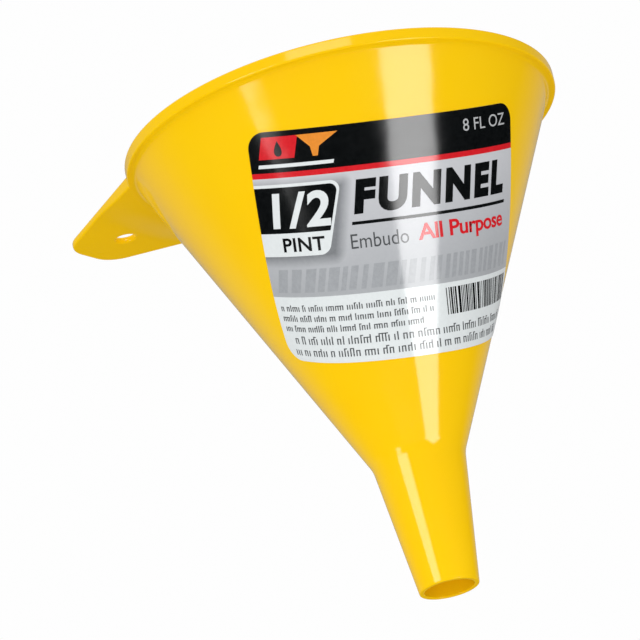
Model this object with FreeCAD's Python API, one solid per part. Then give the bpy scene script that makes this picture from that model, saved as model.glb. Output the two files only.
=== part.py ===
import FreeCAD, Part
import math
import os

from FreeCAD import Vector

# Half-pint hand funnel, moulded in one piece, with a printed label stuck round its bowl.
# Units are millimetres. +Z points from the spout's outlet up to the mouth, and the origin is the
# centre of the outlet. The middle of the label faces -Y.
# The moulding is written as four solids that meet face to face: spout, bowl, rim band and hang tab.

# --- Driving dimensions: bowl and spout --------------------------------------------------------
total_height = 112.0          # outlet to the top of the rim
rim_radius = 49.35            # outside of the rim band
spout_length = 30.3           # outlet to where the bowl begins
outlet_radius = 6.7           # outside of the spout at the outlet
throat_radius = 10.45         # outside of the spout where it meets the bowl
bowl_wall = 1.2               # measured square to the wall
spout_wall = 1.1              # measured level, at the outlet

# --- Driving dimensions: rim band --------------------------------------------------------------
rim_height = 2.8              # side face of the band, top to underside
rim_projection = 1.8          # how far the band stands out past the bowl at its underside
rim_root_fillet = 1.0         # soft corner between the underside and the bowl
rim_edge_round = 0.4          # rounding of the band's two outer edges

# --- Driving dimensions: hang tab --------------------------------------------------------------
tab_direction = 138.5         # degrees from the label's middle, clockwise seen from above
tab_reach = 25.6              # from the outside of the rim to the tab's end
tab_end_width = 15.0          # across the end, to where its two sides would meet it
tab_side_taper = 29.3         # degrees that each side leans away from the centre line
tab_thickness = 1.5
tab_corner_radius = 8.0
tab_edge_round = 0.4
hang_hole_radius = 2.3
hang_hole_inset = 11.35       # from the tab's end to the hole's centre

# --- Driving dimensions: label -----------------------------------------------------------------
label_width = 65.6            # of the flat label, before it is rolled on
label_height = 52.0
label_top_gap = 19.1          # from the top of the cone to the label's top edge, along the wall
label_corner_radius = 4.0
label_thickness = 0.15        # film and adhesive

# --- Sizes that follow -------------------------------------------------------------------------
rim_underside = total_height - rim_height
cone_top_radius = rim_radius - rim_projection
cone_slope = (cone_top_radius - throat_radius) / (rim_underside - spout_length)
half_angle = math.atan(cone_slope)
apex_height = spout_length - throat_radius / cone_slope
level_wall = bowl_wall / math.cos(half_angle)
throat_bore = throat_radius - level_wall
outlet_bore = outlet_radius - spout_wall
tab_end = rim_radius + tab_reach
hole_distance = tab_end - hang_hole_inset
slant_length = (total_height - apex_height) / math.cos(half_angle)
label_top = slant_length - label_top_gap
label_bottom = label_top - label_height

AXIS_POINT = Vector(0, 0, 0)
AXIS = Vector(0, 0, 1)
FULL_TURN = 360.0
QUARTER_TURN = 90.0
CURVE_STEPS = 8               # spans of each of the label's sides


def outer_radius(height):
    """Outside of the bowl's cone at a height."""
    return throat_radius + cone_slope * (height - spout_length)


def inner_radius(height):
    """Inside of the bowl's cone at a height."""
    return outer_radius(height) - level_wall


def turned(edges):
    """Solid of revolution about the funnel's axis, from a closed half section."""
    section = Part.Face(Part.Wire(Part.sortEdges(edges)[0]))
    return section.revolve(AXIS_POINT, AXIS, FULL_TURN)


def half_section_point(radius, height):
    return Vector(radius, 0, height)


def polygon_edges(points):
    """Straight edges through half-section points, closed back to the first."""
    ends = points[1:] + points[:1]
    return [Part.makeLine(start, end) for start, end in zip(points, ends)]


def make_spout():
    """Tapered tube, cut square at the outlet."""
    return turned(polygon_edges([
        half_section_point(outlet_bore, 0),
        half_section_point(outlet_radius, 0),
        half_section_point(throat_radius, spout_length),
        half_section_point(throat_bore, spout_length),
    ]))


def make_bowl():
    """Conical shell from the spout up to the rim band."""
    return turned(polygon_edges([
        half_section_point(throat_bore, spout_length),
        half_section_point(throat_radius, spout_length),
        half_section_point(cone_top_radius, rim_underside),
        half_section_point(inner_radius(rim_underside), rim_underside),
    ]))


def tangent_arc(centre, radius, start_angle, end_angle):
    """Arc in the half section; angles in radians, from +X towards +Z."""
    middle = (start_angle + end_angle) / 2

    def on_arc(angle):
        return centre + Vector(radius * math.cos(angle), 0, radius * math.sin(angle))

    points = [on_arc(start_angle), on_arc(middle), on_arc(end_angle)]
    return Part.Arc(*points).toShape(), points[0], points[2]


def make_rim_band():
    """Thickened band round the mouth, with a soft root below it and rounded outer edges."""
    # The root fillet touches the underside from below and the bowl's cone from outside.
    root_setback = rim_root_fillet * math.tan((math.pi / 2 - half_angle) / 2)
    root_centre = half_section_point(cone_top_radius + root_setback, rim_underside - rim_root_fillet)
    root, root_top, root_foot = tangent_arc(
        root_centre, rim_root_fillet, math.pi / 2, math.pi - half_angle)
    edge_centre_radius = rim_radius - rim_edge_round
    low_centre = half_section_point(edge_centre_radius, rim_underside + rim_edge_round)
    low, low_start, low_end = tangent_arc(low_centre, rim_edge_round, -math.pi / 2, 0)
    high_centre = half_section_point(edge_centre_radius, total_height - rim_edge_round)
    high, high_start, high_end = tangent_arc(high_centre, rim_edge_round, 0, math.pi / 2)
    inside_top = half_section_point(inner_radius(total_height), total_height)
    inside_foot = half_section_point(inner_radius(rim_underside), rim_underside)
    cone_top = half_section_point(cone_top_radius, rim_underside)
    return turned([
        Part.makeLine(inside_foot, cone_top),
        Part.makeLine(cone_top, root_foot),
        root,
        Part.makeLine(root_top, low_start),
        low,
        Part.makeLine(low_end, high_start),
        high,
        Part.makeLine(high_end, inside_top),
        Part.makeLine(inside_top, inside_foot),
    ])


def turned_to_tab(shape):
    """Swings a shape built along -Y round to the tab's direction."""
    return shape.rotate(AXIS_POINT, AXIS, -tab_direction)


def tab_side_on_circle(radius):
    """Half width and distance from the axis where a side of the tab crosses a circle round the axis."""
    lean = math.tan(math.radians(tab_side_taper))
    half_at_axis = tab_end_width / 2 + tab_end * lean
    # A circle too small for the side to reach gives the point of the side nearest the axis.
    across_axis = math.sqrt(max(0.0, radius ** 2 * (1 + lean ** 2) - half_at_axis ** 2))
    distance = (half_at_axis * lean + across_axis) / (1 + lean ** 2)
    return half_at_axis - distance * lean, distance


def make_hang_tab(rim_band):
    """Flat tapered plate, flush with the top of the rim, with a hole near its end."""
    underside = total_height - tab_thickness
    root_distance = rim_radius - rim_projection
    end_half = tab_end_width / 2
    # The plate's outline starts inside the mouth, so that its sides run on into the rim.
    root_half, start_distance = tab_side_on_circle(root_distance - rim_projection)
    corners = [
        Vector(-root_half, -start_distance, underside),
        Vector(-end_half, -tab_end, underside),
        Vector(end_half, -tab_end, underside),
        Vector(root_half, -start_distance, underside),
    ]
    outline = Part.Wire(polygon_edges(corners))
    plate = Part.Face(outline).extrude(Vector(0, 0, tab_thickness))
    corner_edges = [edge for edge in plate.Edges
                    if is_upright(edge) and edge.BoundBox.YMax < -tab_end + tab_edge_round]
    plate = plate.makeFillet(tab_corner_radius, corner_edges)
    # The mouth is cleared first, then the rim's own solid is cut away, so that the two meet exactly.
    inside_rim = Part.makeCylinder(root_distance, tab_thickness, Vector(0, 0, underside))
    plate = plate.cut(inside_rim)
    rim_edges = [edge for edge in plate.Edges if is_level_outline(edge, root_distance)]
    plate = plate.makeFillet(tab_edge_round, rim_edges)
    hole = Part.makeCylinder(hang_hole_radius, tab_thickness, Vector(0, -hole_distance, underside))
    plate = turned_to_tab(plate.cut(hole))
    return plate.cut(rim_band).Solids[0]


def is_upright(edge):
    return edge.BoundBox.ZLength > tab_thickness / 2


def is_level_outline(edge, root_distance):
    """Edges round the plate's two flat faces, apart from those against the rim."""
    middle = edge.valueAt((edge.FirstParameter + edge.LastParameter) / 2)
    against_rim = math.hypot(middle.x, middle.y) < root_distance + tab_edge_round
    return not is_upright(edge) and not against_rim


def rolled(across, slant, lift):
    """Where a point of the flat label lies once it is rolled onto the cone.

    across is measured from the label's centre line, slant from the cone's tip along that line, and
    lift square to the wall. Straight lines of the flat label become geodesics of the cone.
    """
    reach = math.hypot(across, slant)
    turn = math.atan2(across, slant) / math.sin(half_angle)
    radius = reach * math.sin(half_angle) + lift * math.cos(half_angle)
    height = apex_height + reach * math.cos(half_angle) - lift * math.sin(half_angle)
    return Vector(radius * math.sin(turn), -radius * math.cos(turn), height)


def corner_arc(across, slant, start_angle):
    """Quarter circle of the label's outline about a corner's centre, angles in degrees."""
    angles = [math.radians(start_angle + QUARTER_TURN * step / CURVE_STEPS) for step in range(CURVE_STEPS + 1)]
    return [(across + label_corner_radius * math.cos(angle),
             slant + label_corner_radius * math.sin(angle)) for angle in angles]


def straight_side(start, end):
    fractions = [step / CURVE_STEPS for step in range(CURVE_STEPS + 1)]
    return [(start[0] + (end[0] - start[0]) * part, start[1] + (end[1] - start[1]) * part)
            for part in fractions]


def label_outline():
    """The flat label's four corner arcs and the four straight sides that join them."""
    side = label_width / 2 - label_corner_radius
    low = label_bottom + label_corner_radius
    high = label_top - label_corner_radius
    arcs = [
        corner_arc(side, low, -QUARTER_TURN),
        corner_arc(side, high, 0),
        corner_arc(-side, high, QUARTER_TURN),
        corner_arc(-side, low, 2 * QUARTER_TURN),
    ]
    outline = []
    for arc, following in zip(arcs, arcs[1:] + arcs[:1]):
        outline += [arc, straight_side(arc[-1], following[0])]
    return outline


def lifted_cone(lift):
    """The bowl's outside cone, moved outwards square to the wall."""
    surface = Part.Cone()
    surface.Center = Vector(0, 0, spout_length)
    surface.SemiAngle = half_angle
    surface.Radius = throat_radius + lift / math.cos(half_angle)
    return surface


def past_seam(turn):
    """Carries an angle on past the cone's seam, a quarter turn to the right of the label's middle."""
    return turn + 2 * math.pi if turn < math.pi / 2 else turn


def label_face(lift):
    """The label's outline drawn on the lifted cone: its edges, and the face inside them."""
    surface = lifted_cone(lift)
    edges = []
    for side in label_outline():
        places = [surface.parameter(rolled(across, slant, lift)) for across, slant in side]
        curve = Part.Geom2d.BSplineCurve2d()
        curve.interpolate([FreeCAD.Base.Vector2d(past_seam(turn), reach) for turn, reach in places])
        edges.append(curve.toShape(surface))
    return edges, Part.Face(surface, Part.Wire(edges))


def make_label():
    """Printed film, rolled round the front of the bowl."""
    back_edges, back = label_face(0)
    front_edges, front = label_face(label_thickness)
    rims = [Part.makeRuledSurface(inner, outer) for inner, outer in zip(back_edges, front_edges)]
    shell = Part.Shell([back, front] + rims)
    shell.sewShape()
    return Part.Solid(shell)


def main():
    os.makedirs("parts", exist_ok=True)
    rim_band = make_rim_band()
    nodes = {
        "spout": make_spout(),
        "bowl": make_bowl(),
        "rim_band": rim_band,
        "hang_tab": make_hang_tab(rim_band),
        "label": make_label(),
    }
    for name, shape in nodes.items():
        print(name, shape.ShapeType, "valid", shape.isValid(), "volume", round(shape.Volume, 1))
        shape.exportStep("parts/" + name + ".step")


main()
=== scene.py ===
import math
import random

import bmesh
import bpy
from mathutils import Matrix, Vector


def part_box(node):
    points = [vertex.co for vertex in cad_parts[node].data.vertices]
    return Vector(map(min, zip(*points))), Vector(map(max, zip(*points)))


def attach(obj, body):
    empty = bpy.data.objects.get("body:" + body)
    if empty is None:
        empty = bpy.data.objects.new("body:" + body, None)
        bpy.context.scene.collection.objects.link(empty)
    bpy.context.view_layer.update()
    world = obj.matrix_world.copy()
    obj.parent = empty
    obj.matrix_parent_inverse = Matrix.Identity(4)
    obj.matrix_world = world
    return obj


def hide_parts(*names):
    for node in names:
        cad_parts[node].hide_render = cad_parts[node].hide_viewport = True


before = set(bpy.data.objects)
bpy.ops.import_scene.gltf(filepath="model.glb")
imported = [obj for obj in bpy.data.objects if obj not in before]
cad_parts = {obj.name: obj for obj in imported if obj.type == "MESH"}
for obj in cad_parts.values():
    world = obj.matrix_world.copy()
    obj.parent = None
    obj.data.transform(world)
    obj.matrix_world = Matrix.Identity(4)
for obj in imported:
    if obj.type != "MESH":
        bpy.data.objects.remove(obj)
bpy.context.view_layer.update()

# Looks for the half-pint funnel. Meshes are worked out in millimetres in the CAD frame and scaled
# to metres when they are made: +Z runs from the outlet to the mouth, the label's middle faces -Y.
MM = 0.001
rim_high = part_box("rim_band")[1] / MM
spout_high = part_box("spout")[1] / MM

# --- The moulding's sizes, as in the CAD model ---------------------------------------------------
total_height = rim_high.z
rim_radius = rim_high.x
spout_length = spout_high.z
throat_radius = spout_high.x
outlet_radius = 6.7
bowl_wall = 1.2
spout_wall = 1.1
rim_height = 2.8
rim_projection = 1.8
rim_root_fillet = 1.0
rim_edge_round = 0.4
tab_direction = 138.5
tab_reach = 25.6
tab_end_width = 15.0
tab_side_taper = 29.3
tab_thickness = 1.5
tab_corner_radius = 8.0
hang_hole_radius = 2.3
hang_hole_inset = 11.35
label_width = 65.6
label_height = 52.0
label_top_gap = 19.1
label_corner_radius = 4.0
label_thickness = 0.15

rim_underside = total_height - rim_height
cone_top_radius = rim_radius - rim_projection
cone_slope = (cone_top_radius - throat_radius) / (rim_underside - spout_length)
half_angle = math.atan(cone_slope)
apex_height = spout_length - throat_radius / cone_slope
level_wall = bowl_wall / math.cos(half_angle)
slant_length = (total_height - apex_height) / math.cos(half_angle)
label_bottom = slant_length - label_top_gap - label_height
tab_end = rim_radius + tab_reach

TURN_STEPS = 256              # facets round the funnel
ARC_STEPS = 7                 # facets of each small rounding of the revolved section
LOOP_ARC_STEPS = 12           # facets of each rounded corner of a printed shape
SUPPORT = 0.06                # how far a supporting ring stands off a rounding
INK = 0.015                   # thickness of one layer of print
FACET = 1.0                   # widest strip of a rolled piece
FACET_HIGH = 1.5              # tallest strip of a rolled piece
TAB_EDGE = 0.5                # visible rounding of the hang tab's edges
TAB_OVERLAP = 0.35            # how far the tab's root reaches into the rim band from its inside
TAB_SINK = 0.02               # how far the tab's top lies under the brim
TAB_STRIPS = (1.5, 0.8)       # widths of the strips the tab is cut into, across and along
ROOT_RUN = 13.0               # how far out from the rim the tab's underside is drawn down
ROOT_CLEARANCE = 0.04         # what stays between the drawn-down root and the rim's underside
TAB_ROOT_STEPS = 24           # facets of the tab's root arc
TAB_CORNER_STEPS = 14         # facets of each end corner of the tab
HOLE_STEPS = 48               # facets of the hanging hole
LIP_INSIDE = 0.22             # roundings of the outlet's lip, inside and outside
LIP_OUTSIDE = 0.30
THROAT_ROUND = 8.0            # rounding where the spout meets the bowl
MOUTH_ROUND = 0.45            # rounding of the brim's inner edge


# --- Nodes ---------------------------------------------------------------------------------------
class Tree:
    """Short ways to add and link shader nodes."""

    def __init__(self, owner):
        owner.use_nodes = True
        self.nodes = owner.node_tree.nodes
        self.links = owner.node_tree.links
        self.nodes.clear()

    def add(self, kind, inputs=(), **settings):
        node = self.nodes.new("ShaderNode" + kind)
        for name, value in settings.items():
            setattr(node, name, value)
        for name, value in dict(inputs).items():
            if isinstance(value, bpy.types.NodeSocket):
                self.links.new(value, node.inputs[name])
            else:
                node.inputs[name].default_value = value
        return node

    def math(self, operation, first, second=0.0):
        return self.add("Math", {0: first, 1: second}, operation=operation).outputs[0]

    def noise(self, place, scale, detail=2.0, roughness=0.5):
        inputs = {"Vector": place, "Scale": scale, "Detail": detail, "Roughness": roughness}
        return self.add("TexNoise", inputs).outputs["Fac"]

    def ramp(self, value, low, high, to_low=0.0, to_high=1.0):
        inputs = {"Value": value, "From Min": low, "From Max": high,
                  "To Min": to_low, "To Max": to_high}
        return self.add("MapRange", inputs).outputs["Result"]

    def blend(self, amount, first, second):
        node = self.add("Mix", data_type="RGBA")
        for index, value in ((0, amount), (6, first), (7, second)):
            socket = node.inputs[index]
            if isinstance(value, bpy.types.NodeSocket):
                self.links.new(value, socket)
            else:
                socket.default_value = value
        return node.outputs[2]

    def bump(self, height, distance, normal=None):
        inputs = {"Height": height, "Strength": 1.0, "Distance": distance}
        if normal is not None:
            inputs["Normal"] = normal
        return self.add("Bump", inputs).outputs["Normal"]

    def surface(self, inputs):
        shader = self.add("BsdfPrincipled", inputs)
        output = self.add("OutputMaterial")
        self.links.new(shader.outputs[0], output.inputs[0])


def opaque(red, green, blue):
    return (red, green, blue, 1.0)


def moulded_plastic():
    """Glossy yellow polyethylene: slow waves from cooling, a fine skin, a little handling haze."""
    material = bpy.data.materials.new("yellow_polyethylene")
    tree = Tree(material)
    place = tree.add("TexCoord").outputs["Object"]
    cloud = tree.noise(place, 28.0, 3.0)
    fine = tree.noise(place, 900.0, 2.0)
    haze = tree.noise(place, 160.0, 4.0, 0.65)
    wave = tree.noise(place, 75.0, 1.0)
    deep = opaque(0.99, 0.590, 0.0030)
    bright = opaque(1.0, 0.620, 0.0035)
    colour = tree.blend(tree.ramp(cloud, 0.3, 0.7), deep, bright)
    specks = tree.ramp(tree.noise(place, 2600.0, 1.0), 0.74, 0.82, 0.0, 0.12)
    colour = tree.blend(specks, colour, opaque(0.80, 0.42, 0.002))
    broad = tree.bump(wave, 0.00010)
    skin = tree.bump(fine, 0.0000035, broad)
    tree.surface({
        "Base Color": colour,
        "Roughness": tree.ramp(haze, 0.3, 0.75, 0.08, 0.13),
        "IOR": 1.5,
        "Normal": skin,
    })
    return material


def film_finish(tree, place, colour):
    """The clear gloss over all of the print, the same on every colour."""
    wave = tree.bump(tree.noise(place, 75.0, 1.0), 0.00009)
    skin = tree.bump(tree.noise(place, 1500.0, 1.0), 0.0000012, wave)
    haze = tree.noise(place, 220.0, 3.0)
    tree.surface({
        "Base Color": colour,
        "Roughness": tree.ramp(haze, 0.3, 0.7, 0.11, 0.16),
        "IOR": 1.72,
        "Normal": skin,
    })


def ink(name, colour, spread=0.05):
    """One printed colour, with the slight mottle of a flexographic print."""
    material = bpy.data.materials.new(name)
    tree = Tree(material)
    place = tree.add("TexCoord").outputs["Object"]
    mottle = tree.ramp(tree.noise(place, 1100.0, 3.0, 0.7), 0.35, 0.65)
    light = opaque(*(min(1.0, part * (1 + spread) + 0.002) for part in colour))
    dark = opaque(*(part * (1 - spread) for part in colour))
    film_finish(tree, place, tree.blend(mottle, dark, light))
    return material


def silver_field(badge_right, badge_bottom):
    """Silver grey that darkens towards its foot, with the soft printed shadow beside the badge.

    The shadow's place and reach are in millimetres of the flat label.
    """
    material = bpy.data.materials.new("print_silver")
    tree = Tree(material)
    place = tree.add("TexCoord").outputs["Object"]
    flat = tree.add("SeparateXYZ", {0: tree.add("UVMap", uv_map="flat").outputs[0]})
    across = tree.math("MULTIPLY", tree.math("SUBTRACT", flat.outputs[0], 0.5), label_width)
    up = tree.math("MULTIPLY", flat.outputs[1], label_height)
    high_grey = opaque(0.60, 0.61, 0.64)
    low_grey = opaque(0.42, 0.435, 0.455)
    colour = tree.blend(tree.ramp(up, 40.0, 16.0), high_grey, low_grey)
    lean = tree.math("MULTIPLY", tree.math("SUBTRACT", 40.0, up), 0.19)
    beside = tree.math("ADD", tree.math("SUBTRACT", across, badge_right), lean)
    beside = tree.math("MAXIMUM", beside, 0.0)
    below = tree.math("MAXIMUM", tree.math("SUBTRACT", badge_bottom, up), 0.0)
    above = tree.math("MAXIMUM", tree.math("SUBTRACT", up, 39.0), 0.0)
    corner = tree.math("MAXIMUM", below, above)
    beside_squared = tree.math("MULTIPLY", beside, beside)
    square = tree.math("ADD", beside_squared, tree.math("MULTIPLY", corner, corner))
    shadow = tree.ramp(tree.math("SQRT", square), 0.0, 2.6, 0.72, 0.0)
    colour = tree.blend(shadow, colour, opaque(0.10, 0.11, 0.12))
    mottle = tree.ramp(tree.noise(place, 1100.0, 3.0, 0.7), 0.35, 0.65, 0.0, 0.05)
    colour = tree.blend(mottle, colour, opaque(0.8, 0.8, 0.8))
    film_finish(tree, place, colour)
    return material


# --- Meshes --------------------------------------------------------------------------------------
def finish_piece(name, mesh, material, replaced=()):
    """Makes a named piece of a mesh with its material in a slot, hangs it on the root body and
    hides the CAD nodes it stands for.
    """
    mesh.materials.clear()
    mesh.materials.append(material)
    piece = bpy.data.objects.new(name, mesh)
    bpy.context.scene.collection.objects.link(piece)
    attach(piece, "root")
    if replaced:
        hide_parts(*replaced)


def unit(vector):
    return vector / vector.length


def rounded_corner(previous, here, following, radius, steps):
    """Directions of a corner's two sides, and the points of the arc that rounds it."""
    before = unit(previous - here)
    after = unit(following - here)
    opening = before.angle(after)
    setback = radius / math.tan(opening / 2)
    centre = here + unit(before + after) * (radius / math.sin(opening / 2))
    start = here + before * setback - centre
    end = here + after * setback - centre
    sweep = start.angle(end)
    points = []
    for step in range(steps + 1):
        part = step / steps
        first = math.sin((1 - part) * sweep) / math.sin(sweep)
        second = math.sin(part * sweep) / math.sin(sweep)
        points.append(centre + start * first + end * second)
    return before, after, points


def with_neighbours(corners):
    """Each (x, y, rounding) corner as previous, here and following points, and its rounding."""
    points = [Vector(corner[:2]) for corner in corners]
    roundings = [corner[2] for corner in corners]
    return zip(points[-1:] + points[:-1], points, points[1:] + points[:1], roundings)


def softened(corners):
    """Closed half section with its corners rounded. Each corner is (radius, height, rounding)."""
    points = []
    for previous, here, following, rounding in with_neighbours(corners):
        before, after, arc = rounded_corner(previous, here, following, rounding, ARC_STEPS)
        points += [arc[0] + before * SUPPORT] + arc + [arc[-1] + after * SUPPORT]
    return points


def inner_radius(height):
    return throat_radius + cone_slope * (height - spout_length) - level_wall


def make_body():
    """The whole revolved moulding as one unbroken skin: spout, bowl and rim band."""
    section = softened([
        (outlet_radius - spout_wall, 0.0, LIP_INSIDE),
        (outlet_radius, 0.0, LIP_OUTSIDE),
        (throat_radius, spout_length, THROAT_ROUND),
        (cone_top_radius, rim_underside, rim_root_fillet),
        (rim_radius, rim_underside, rim_edge_round),
        (rim_radius, total_height, rim_edge_round),
        (inner_radius(total_height), total_height, MOUTH_ROUND),
        (inner_radius(spout_length), spout_length, THROAT_ROUND),
    ])
    shape = bmesh.new()
    rings = []
    for step in range(TURN_STEPS):
        turn = 2 * math.pi * step / TURN_STEPS
        across = Vector((math.sin(turn), -math.cos(turn), 0.0))
        places = [across * point.x + Vector((0, 0, point.y)) for point in section]
        rings.append([shape.verts.new(place * MM) for place in places])
    for ring, following in zip(rings, rings[1:] + rings[:1]):
        for index in range(len(section)):
            shape.faces.new((ring[index - 1], ring[index], following[index], following[index - 1]))
    bmesh.ops.recalc_face_normals(shape, faces=shape.faces)
    return smooth_mesh("funnel_body", shape)


def smooth_mesh(name, shape):
    for face in shape.faces:
        face.smooth = True
    mesh = bpy.data.meshes.new(name)
    shape.to_mesh(mesh)
    shape.free()
    return mesh


def tab_side_on_circle(radius):
    """Half width and distance from the axis where a side of the tab crosses a circle round it."""
    lean = math.tan(math.radians(tab_side_taper))
    half_at_axis = tab_end_width / 2 + tab_end * lean
    # A circle too small for the side to reach gives the point of the side nearest the axis.
    across_axis = math.sqrt(max(0.0, radius ** 2 * (1 + lean ** 2) - half_at_axis ** 2))
    distance = (half_at_axis * lean + across_axis) / (1 + lean ** 2)
    return half_at_axis - distance * lean, distance


def tab_outline():
    """Plan of the tab, along -Y from the funnel's axis: its root's arc, and one end corner."""
    root_radius = cone_top_radius + TAB_OVERLAP
    half, distance = tab_side_on_circle(root_radius)
    sweep = math.atan2(half, distance)
    outline = []
    for step in range(TAB_ROOT_STEPS + 1):
        turn = -sweep + 2 * sweep * step / TAB_ROOT_STEPS
        outline.append(Vector((math.sin(turn), -math.cos(turn))) * root_radius)
    outline.reverse()
    inner_angle = math.radians(90 + tab_side_taper)
    corner_setback = tab_corner_radius / math.tan(inner_angle / 2)
    centre_across = tab_end_width / 2 - corner_setback
    centre = Vector((centre_across, -tab_end + tab_corner_radius))
    corner = []
    for step in range(TAB_CORNER_STEPS + 1):
        part = step / TAB_CORNER_STEPS
        turn = math.radians(-tab_side_taper) * (1 - part) - math.pi / 2 * part
        corner.append(centre + Vector((math.cos(turn), math.sin(turn))) * tab_corner_radius)
    return outline, corner


def make_tab():
    """Hang tab with rounded edges, a hole, and a root whose underside runs down beside the rim."""
    root, corner = tab_outline()
    mirrored = [Vector((-point.x, point.y)) for point in corner]
    outline = list(root) + mirrored + list(reversed(corner))
    hole_centre = Vector((0.0, -(tab_end - hang_hole_inset)))
    hole = []
    for step in range(HOLE_STEPS):
        turn = -2 * math.pi * step / HOLE_STEPS
        hole.append(hole_centre + Vector((math.cos(turn), math.sin(turn))) * hang_hole_radius)
    curve = bpy.data.curves.new("hang_tab_plan", "CURVE")
    curve.dimensions = "2D"
    curve.fill_mode = "BOTH"
    curve.extrude = tab_thickness / 2 - TAB_EDGE
    curve.bevel_depth = TAB_EDGE
    curve.offset = -TAB_EDGE
    curve.bevel_resolution = 4
    for loop in (outline, hole):
        spline = curve.splines.new("POLY")
        spline.points.add(len(loop) - 1)
        for point, place in zip(spline.points, loop):
            point.co = (place.x, place.y, 0.0, 1.0)
        spline.use_cyclic_u = True
    plan = bpy.data.objects.new("hang_tab_plan", curve)
    bpy.context.scene.collection.objects.link(plan)
    shape = bmesh.new()
    flat = bpy.data.meshes.new_from_object(plan)
    shape.from_mesh(flat)
    bpy.data.objects.remove(plan)
    bpy.data.meshes.remove(flat)
    bmesh.ops.remove_doubles(shape, verts=shape.verts, dist=0.001)
    cut_into_strips(shape, Vector((1, 0, 0)), TAB_STRIPS[0])
    cut_into_strips(shape, Vector((0, 1, 0)), TAB_STRIPS[1])
    thicken_root(shape)
    middle_height = total_height - TAB_SINK - tab_thickness / 2
    bmesh.ops.translate(shape, verts=shape.verts, vec=(0, 0, middle_height))
    bmesh.ops.recalc_face_normals(shape, faces=shape.faces)
    swing = Matrix.Rotation(math.radians(-tab_direction), 4, "Z")
    bmesh.ops.transform(shape, matrix=Matrix.Scale(MM, 4) @ swing, verts=shape.verts)
    return smooth_mesh("hang_tab", shape)


def thicken_root(shape):
    """Draws the tab's underside down near the rim, so that the two undersides flow together."""
    start = rim_radius - rim_edge_round - 0.1
    drop = rim_height - tab_thickness - ROOT_CLEARANCE
    for vert in shape.verts:
        if vert.co.z < 0:
            part = min(1.0, max(0.0, (math.hypot(vert.co.x, vert.co.y) - start) / ROOT_RUN))
            ease = part * part * (3 - 2 * part)
            vert.co.z -= drop * (1 - ease)


def rolled(across, slant, lift):
    """Where a point of the flat label lies once it is rolled onto the bowl."""
    reach = math.hypot(across, slant)
    turn = math.atan2(across, slant) / math.sin(half_angle)
    radius = reach * math.sin(half_angle) + lift * math.cos(half_angle)
    height = apex_height + reach * math.cos(half_angle) - lift * math.sin(half_angle)
    return Vector((radius * math.sin(turn), -radius * math.cos(turn), height))


def wall_normal(across, slant):
    """Outward direction of the bowl's wall under a point of the flat label."""
    turn = math.atan2(across, slant) / math.sin(half_angle)
    level = math.cos(half_angle)
    return Vector((level * math.sin(turn), -level * math.cos(turn), -math.sin(half_angle)))


def roll_on(name, flat, low, high):
    """Gives a flat bmesh thickness, cuts it into narrow strips and rolls it onto the bowl."""
    bmesh.ops.remove_doubles(flat, verts=flat.verts, dist=0.0005)
    for vert in flat.verts:
        vert.co.z = low
    grown = bmesh.ops.extrude_face_region(flat, geom=list(flat.faces))
    for item in grown["geom"]:
        if isinstance(item, bmesh.types.BMVert):
            item.co.z = high
    cut_into_strips(flat, Vector((1, 0, 0)), FACET)
    cut_into_strips(flat, Vector((0, 1, 0)), FACET_HIGH)
    bmesh.ops.recalc_face_normals(flat, faces=flat.faces)
    uv = flat.loops.layers.uv.new("flat")
    for face in flat.faces:
        for loop in face.loops:
            place = loop.vert.co
            loop[uv].uv = (place.x / label_width + 0.5, place.y / label_height)
    mesh = bpy.data.meshes.new(name)
    flat.to_mesh(mesh)
    flat.free()
    outward = []
    for face in mesh.polygons:
        for index in face.vertices:
            place = mesh.vertices[index].co
            normal = wall_normal(place.x, place.y + label_bottom)
            normal *= math.copysign(1.0, face.normal.z)
            outward.append(normal if abs(face.normal.z) > 0.5 else None)
    for vert in mesh.vertices:
        vert.co = rolled(vert.co.x, vert.co.y + label_bottom, vert.co.z) * MM
    mesh.update()
    normals = []
    position = 0
    for face in mesh.polygons:
        face.use_smooth = True
        for _ in face.vertices:
            wanted = outward[position]
            normals.append(wanted if wanted is not None else face.normal.copy())
            position += 1
    mesh.normals_split_custom_set(normals)
    return mesh


def cut_into_strips(flat, direction, spacing):
    """Cuts a bmesh by parallel planes, so that it bends smoothly when its points are moved."""
    places = [vert.co.dot(direction) for vert in flat.verts]
    first = math.ceil(min(places) / spacing)
    last = math.floor(max(places) / spacing)
    for step in range(first, last + 1):
        everything = list(flat.verts) + list(flat.edges) + list(flat.faces)
        bmesh.ops.bisect_plane(flat, geom=everything, plane_co=direction * (step * spacing),
                               plane_no=direction, dist=0.0002)


def polygon(*loops):
    """A flat bmesh with one face for each loop of (across, up) points."""
    flat = bmesh.new()
    for loop in loops:
        flat.faces.new([flat.verts.new((across, up, 0.0)) for across, up in loop])
    return flat


def rounded_loop(corners):
    """Closed loop of points from (across, up, radius) corners, anticlockwise."""
    loop = []
    for previous, here, following, radius in with_neighbours(corners):
        if radius == 0:
            loop.append((here.x, here.y))
            continue
        arc = rounded_corner(previous, here, following, radius, LOOP_ARC_STEPS)[2]
        loop += [(place.x, place.y) for place in arc]
    return loop


def box_loop(left, low, right, high, slant=0.0):
    """Four corners, the upper two moved across by slant times the height."""
    shift = slant * (high - low)
    return [(left, low), (right, low), (right + shift, high), (left + shift, high)]


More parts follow.
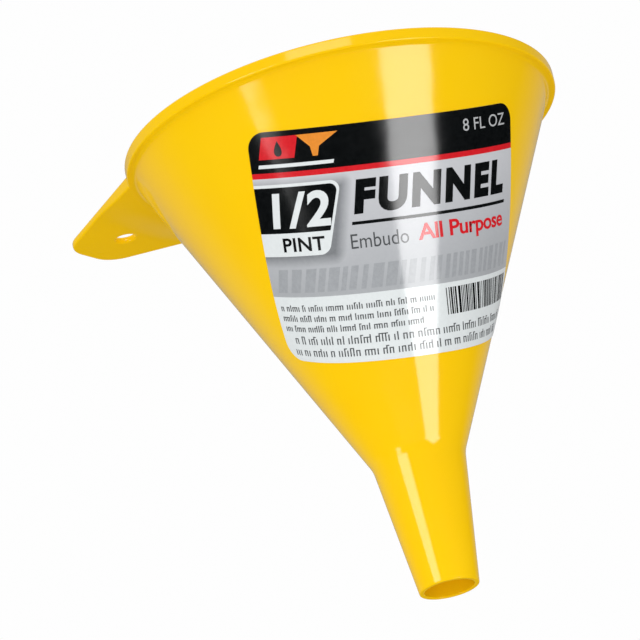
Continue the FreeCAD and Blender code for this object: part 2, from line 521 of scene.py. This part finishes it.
def lettering(words, left, low, right, high, slant=0.0, weight=0.0, spacing=1.0):
    """Words in the plain built-in typeface, stretched to fill a box."""
    curve = bpy.data.curves.new("lettering", "FONT")
    curve.body = words
    curve.size = 10.0
    curve.offset = weight
    curve.resolution_u = 5
    curve.space_character = spacing
    writer = bpy.data.objects.new("lettering", curve)
    bpy.context.scene.collection.objects.link(writer)
    written = bpy.data.meshes.new_from_object(writer)
    bpy.data.objects.remove(writer)
    flat = bmesh.new()
    flat.from_mesh(written)
    bpy.data.meshes.remove(written)
    across = [vert.co.x for vert in flat.verts]
    up = [vert.co.y for vert in flat.verts]
    wide = (right - left - slant * (high - low)) / (max(across) - min(across))
    tall = (high - low) / (max(up) - min(up))
    across_start = min(across)
    up_start = min(up)
    for vert in flat.verts:
        rise = (vert.co.y - up_start) * tall
        vert.co.x = left + (vert.co.x - across_start) * wide + slant * rise
        vert.co.y = low + rise
    return flat


def print_on(name, flat, layer, material):
    """Prints a flat shape on the label, on the given layer of ink."""
    mesh = roll_on(name, flat, label_thickness - INK, label_thickness + layer * INK)
    finish_piece(name, mesh, material)


def greeked(rows, height, stroke, gap, draw):
    """Lines of upright strokes grouped like words, which stand for small print without letters."""
    loops = []
    for left, right, low in rows:
        place = left
        letters = draw.randint(2, 8)
        while place + stroke < right:
            if letters == 0:
                place += stroke * 2.2
                letters = draw.randint(2, 8)
                continue
            tall = height * draw.choice((0.72, 0.72, 0.72, 1.0))
            loops.append(box_loop(place, low, place + stroke, low + tall))
            if draw.random() < 0.55 and letters > 1:
                bridge_low = low + tall - stroke * 0.8
                loops.append(box_loop(place + stroke, bridge_low, place + stroke + gap, low + tall))
            place += stroke + gap
            letters -= 1
    return loops


def make_label():
    """The film and everything printed on it.

    Places are in millimetres across from the flat label's middle and up from its bottom edge.
    """
    white = ink("print_white", (0.78, 0.82, 0.825), 0.02)
    black = ink("print_black", (0.0035, 0.0045, 0.005), 0.2)
    red = ink("print_red", (0.70, 0.012, 0.020))
    orange = ink("print_orange", (0.83, 0.28, 0.03))
    grey = ink("print_grey", (0.085, 0.09, 0.095))
    pale = ink("print_pale_grey", (0.50, 0.51, 0.52))
    watermark = ink("print_watermark", (0.375, 0.39, 0.41))
    badge_right = -12.8
    silver = silver_field(badge_right, 24.2)
    half = label_width / 2
    top = label_height
    stripe_high = 42.9
    stripe_low = 41.7
    field_low = 15.0
    side = label_corner_radius
    whole = [(-half, 0, side), (half, 0, side), (half, top, side), (-half, top, side)]
    mesh = roll_on("label_film", polygon(rounded_loop(whole)), 0.0, label_thickness)
    finish_piece("label_film", mesh, white, ["label"])

    header = [
        (-half, stripe_high, 0), (half, stripe_high, 0), (half, top, side), (-half, top, side)]
    print_on("print_header", polygon(rounded_loop(header)), 1, black)
    print_on("print_stripe", polygon(box_loop(-half, stripe_low, half, stripe_high)), 1, red)
    print_on("print_field", polygon(box_loop(-half, field_low, half, stripe_low)), 1, silver)

    badge = [(-half, 24.2, 0), (-17.0, 24.2, 2.6), (badge_right, 40.3, 1.9), (-half, 40.3, 0)]
    print_on("print_badge", polygon(rounded_loop(badge)), 2, white)
    badge_black = [
        (-half, 29.4, 0), (-16.25, 29.4, 0), (badge_right - 0.75, 39.6, 1.5), (-half, 39.6, 0)]
    print_on("print_badge_black", polygon(rounded_loop(badge_black)), 3, black)
    print_on("print_size", lettering("1/2", -29.4, 30.4, -15.2, 38.4, 0.10, 0.30, 1.12), 4, white)
    print_on("print_unit", lettering("PINT", -27.6, 25.2, -17.8, 28.3, 0.0, 0.22, 1.05), 3, black)

    title = lettering("FUNNEL", -10.8, 32.2, 29.9, 39.8, 0.16, 0.60, 1.22)
    print_on("print_title", title, 2, black)
    print_on("print_rule", polygon(box_loop(-11.5, 30.0, 29.3, 30.7, 0.2)), 2, black)
    print_on("print_word_grey", lettering("Embudo", -12.1, 24.8, 0.6, 28.0, 0.0, -0.02), 2, grey)
    all_purpose = lettering("All Purpose", 2.8, 23.9, 28.5, 28.6, 0.0, 0.22, 0.95)
    print_on("print_word_red", all_purpose, 2, red)

    draw = random.Random(5)
    stripes = []
    place = -31.0
    while place < 30.0:
        wide = draw.choice((1.1, 1.6, 2.4))
        stripes.append(box_loop(place, 16.0, min(place + wide, 31.0), 21.2, 0.22))
        place += wide + draw.choice((0.7, 1.1))
    print_on("print_watermark", polygon(*stripes), 2, watermark)

    small_rows = [(-31.3, 5.2, 11.7), (-31.3, 5.4, 9.35), (-31.2, 2.8, 7.0)]
    print_on("print_small_lines", polygon(*greeked(small_rows, 1.45, 0.24, 0.30, draw)), 2, grey)
    large_rows = [(-29.2, 29.2, 4.1), (-29.9, 27.2, 1.35)]
    print_on("print_large_lines", polygon(*greeked(large_rows, 1.85, 0.27, 0.42, draw)), 2, grey)
    bars = []
    place = 8.0
    while place < 31.4:
        wide = draw.choice((0.22, 0.22, 0.44, 0.66))
        bars.append(box_loop(place, 8.0, place + wide, 13.9))
        place += wide + draw.choice((0.26, 0.26, 0.5))
    print_on("print_bars", polygon(*bars), 2, black)

    print_on("print_corner", lettering("8 FL OZ", 16.9, 47.2, 30.2, 49.9, 0.0, 0.0), 2, pale)
    print_emblem(black, red, orange, white)


def print_emblem(black, red, orange, white):
    """A generic mark: a drop on a red block beside a small orange funnel."""
    print_on("print_emblem_red", polygon(box_loop(-30.6, 45.9, -22.4, 50.8, 0.24)), 2, red)
    drop = []
    drop_steps = 28
    for step in range(drop_steps):
        turn = 2 * math.pi * step / drop_steps
        pinch = math.sin(turn / 2) ** 1.4
        drop.append((-25.95 + 1.25 * math.sin(turn) * pinch, 48.15 + 1.75 * math.cos(turn)))
    print_on("print_emblem_drop", polygon(list(reversed(drop))), 3, black)
    cone = [
        (-18.3, 45.9), (-17.2, 45.9), (-16.7, 48.0), (-12.4, 50.8), (-21.6, 50.8), (-18.7, 48.0)]
    print_on("print_emblem_orange", polygon(cone), 2, orange)
    print_on("print_strap", polygon(box_loop(-31.0, 43.95, -14.0, 44.75, 0.3)), 2, white)


# --- Camera, light and floor ---------------------------------------------------------------------
middle = Vector((0.0, 0.0, 63.7 * MM))
camera_azimuth = -16.64
camera_elevation = -19.99
camera_distance = 1.176
camera_roll = -13.16
camera_lens = 298.07
camera_sensor = 36.0
aim_left = 14.17 * MM
aim_up = 3.69 * MM
FLOOR_HEIGHT = -0.75          # in metres, well below the camera
FLOOR_HALF_SIDE = 6.0


def direction(azimuth, elevation):
    """Unit vector away from the funnel: azimuth 0 is -Y and 90 is +X, in degrees."""
    turn = math.radians(azimuth)
    rise = math.radians(elevation)
    level = Vector((math.sin(turn), -math.cos(turn), 0.0)) * math.cos(rise)
    return level + Vector((0.0, 0.0, math.sin(rise)))


def make_camera():
    data = bpy.data.cameras.new("camera")
    data.sensor_width = camera_sensor
    data.lens = camera_lens
    data.clip_start = 0.01
    camera = bpy.data.objects.new("camera", data)
    bpy.context.scene.collection.objects.link(camera)
    place = middle + direction(camera_azimuth, camera_elevation) * camera_distance
    up_world = Vector((0, 0, 1))
    straight = unit(middle - place)
    straight_right = unit(straight.cross(up_world))
    straight_up = straight_right.cross(straight)
    aim = middle - straight_right * aim_left + straight_up * aim_up
    ahead = unit(aim - place)
    level = unit(ahead.cross(up_world))
    roll = math.radians(camera_roll)
    right = level * math.cos(roll) + level.cross(ahead) * math.sin(roll)
    up = right.cross(ahead)
    turned = Matrix((right, up, -ahead)).transposed().to_4x4()
    camera.matrix_world = Matrix.Translation(place) @ turned
    bpy.context.scene.camera = camera


def softbox(name, azimuths, elevations, distance, watts, spin=0.0, in_gloss=True):
    """Rectangular light that covers a range of directions as the funnel sees it.

    It shows either in reflections or in diffuse light. watts is for each square metre.
    """
    azimuth = sum(azimuths) / 2
    elevation = sum(elevations) / 2
    data = bpy.data.lights.new(name, "AREA")
    data.shape = "RECTANGLE"
    data.size = 2 * distance * math.tan(math.radians(azimuths[1] - azimuths[0]) / 2)
    data.size_y = 2 * distance * math.tan(math.radians(elevations[1] - elevations[0]) / 2)
    data.energy = watts * data.size * data.size_y
    light = bpy.data.objects.new(name, data)
    bpy.context.scene.collection.objects.link(light)
    outward = direction(azimuth, elevation)
    light.location = middle + outward * distance
    spun = Matrix.Rotation(math.radians(spin), 3, "Z")
    light.rotation_euler = (outward.to_track_quat("Z", "Y").to_matrix() @ spun).to_euler()
    light.visible_camera = False
    light.visible_diffuse = not in_gloss
    light.visible_glossy = in_gloss


def make_world():
    """A pale tent: white behind the funnel, dim in front for reflections, even in diffuse light."""
    world = bpy.data.worlds.new("studio")
    bpy.context.scene.world = world
    world.cycles.sampling_method = "NONE"
    tree = Tree(world)
    place = tree.add("SeparateXYZ", {0: tree.add("TexCoord").outputs["Generated"]})
    path = tree.add("LightPath")
    behind = tree.ramp(place.outputs[1], 0.25, 0.75, 0.0, 1.0)
    behind = tree.math("MULTIPLY", behind, tree.ramp(place.outputs[0], -0.7, 0.7, 0.24, 0.36))
    raised = tree.ramp(place.outputs[2], -0.30, -0.02, 0.06, 1.0)
    behind = tree.math("MULTIPLY", behind, raised)
    overhead = tree.ramp(place.outputs[2], 0.35, 0.8, 0.0, 0.5)
    seen_in_gloss = tree.math("MAXIMUM", behind, overhead)
    from_left = tree.ramp(place.outputs[0], -1.0, 1.0, 1.18, 0.86)
    level = tree.math("MULTIPLY", from_left, tree.ramp(place.outputs[2], -1.0, 1.0, 0.92, 1.0))
    strength = tree.blend(path.outputs["Is Glossy Ray"], level, seen_in_gloss)
    strength = tree.blend(path.outputs["Is Camera Ray"], strength, opaque(0.99, 0.99, 0.99))
    glow = tree.add("Background", {"Color": strength, "Strength": 1.0})
    output = tree.add("OutputWorld")
    tree.links.new(glow.outputs[0], output.inputs[0])


def make_floor():
    """Plain pale floor."""
    material = bpy.data.materials.new("pale_floor")
    tree = Tree(material)
    place = tree.add("TexCoord").outputs["Object"]
    shade = tree.blend(tree.noise(place, 3.0), opaque(0.68, 0.68, 0.68), opaque(0.71, 0.71, 0.71))
    tree.surface({"Base Color": shade, "Roughness": 0.9})
    shape = bmesh.new()
    bmesh.ops.create_grid(shape, x_segments=8, y_segments=8, size=FLOOR_HALF_SIDE)
    bmesh.ops.translate(shape, verts=shape.verts, vec=(0, 0, FLOOR_HEIGHT))
    mesh = bpy.data.meshes.new("floor")
    shape.to_mesh(mesh)
    shape.free()
    mesh.materials.append(material)
    floor = bpy.data.objects.new("floor", mesh)
    bpy.context.scene.collection.objects.link(floor)
    floor.visible_glossy = False


def main():
    yellow = moulded_plastic()
    finish_piece("funnel_body", make_body(), yellow, ["bowl", "rim_band", "spout"])
    finish_piece("hang_tab", make_tab(), yellow, ["hang_tab"])
    make_label()
    make_camera()
    make_world()
    make_floor()
    softbox("strip_right", (16.3, 40.0), (-39.0, -13.0), 1.1, 17.0, -35.0)
    softbox("box_left", (-66.0, -40.5), (-1.0, 12.0), 1.1, 15.0)
    softbox("box_left_low", (-64.0, -53.0), (-21.8, -3.0), 1.1, 12.0)
    softbox("box_front_high", (-33.0, -3.0), (19.0, 27.0), 1.1, 8.0)
    softbox("fill_low", (-45.0, 5.0), (-65.0, -25.0), 0.7, 5.0, in_gloss=False)
    bpy.context.scene.view_settings.view_transform = "Standard"


main()
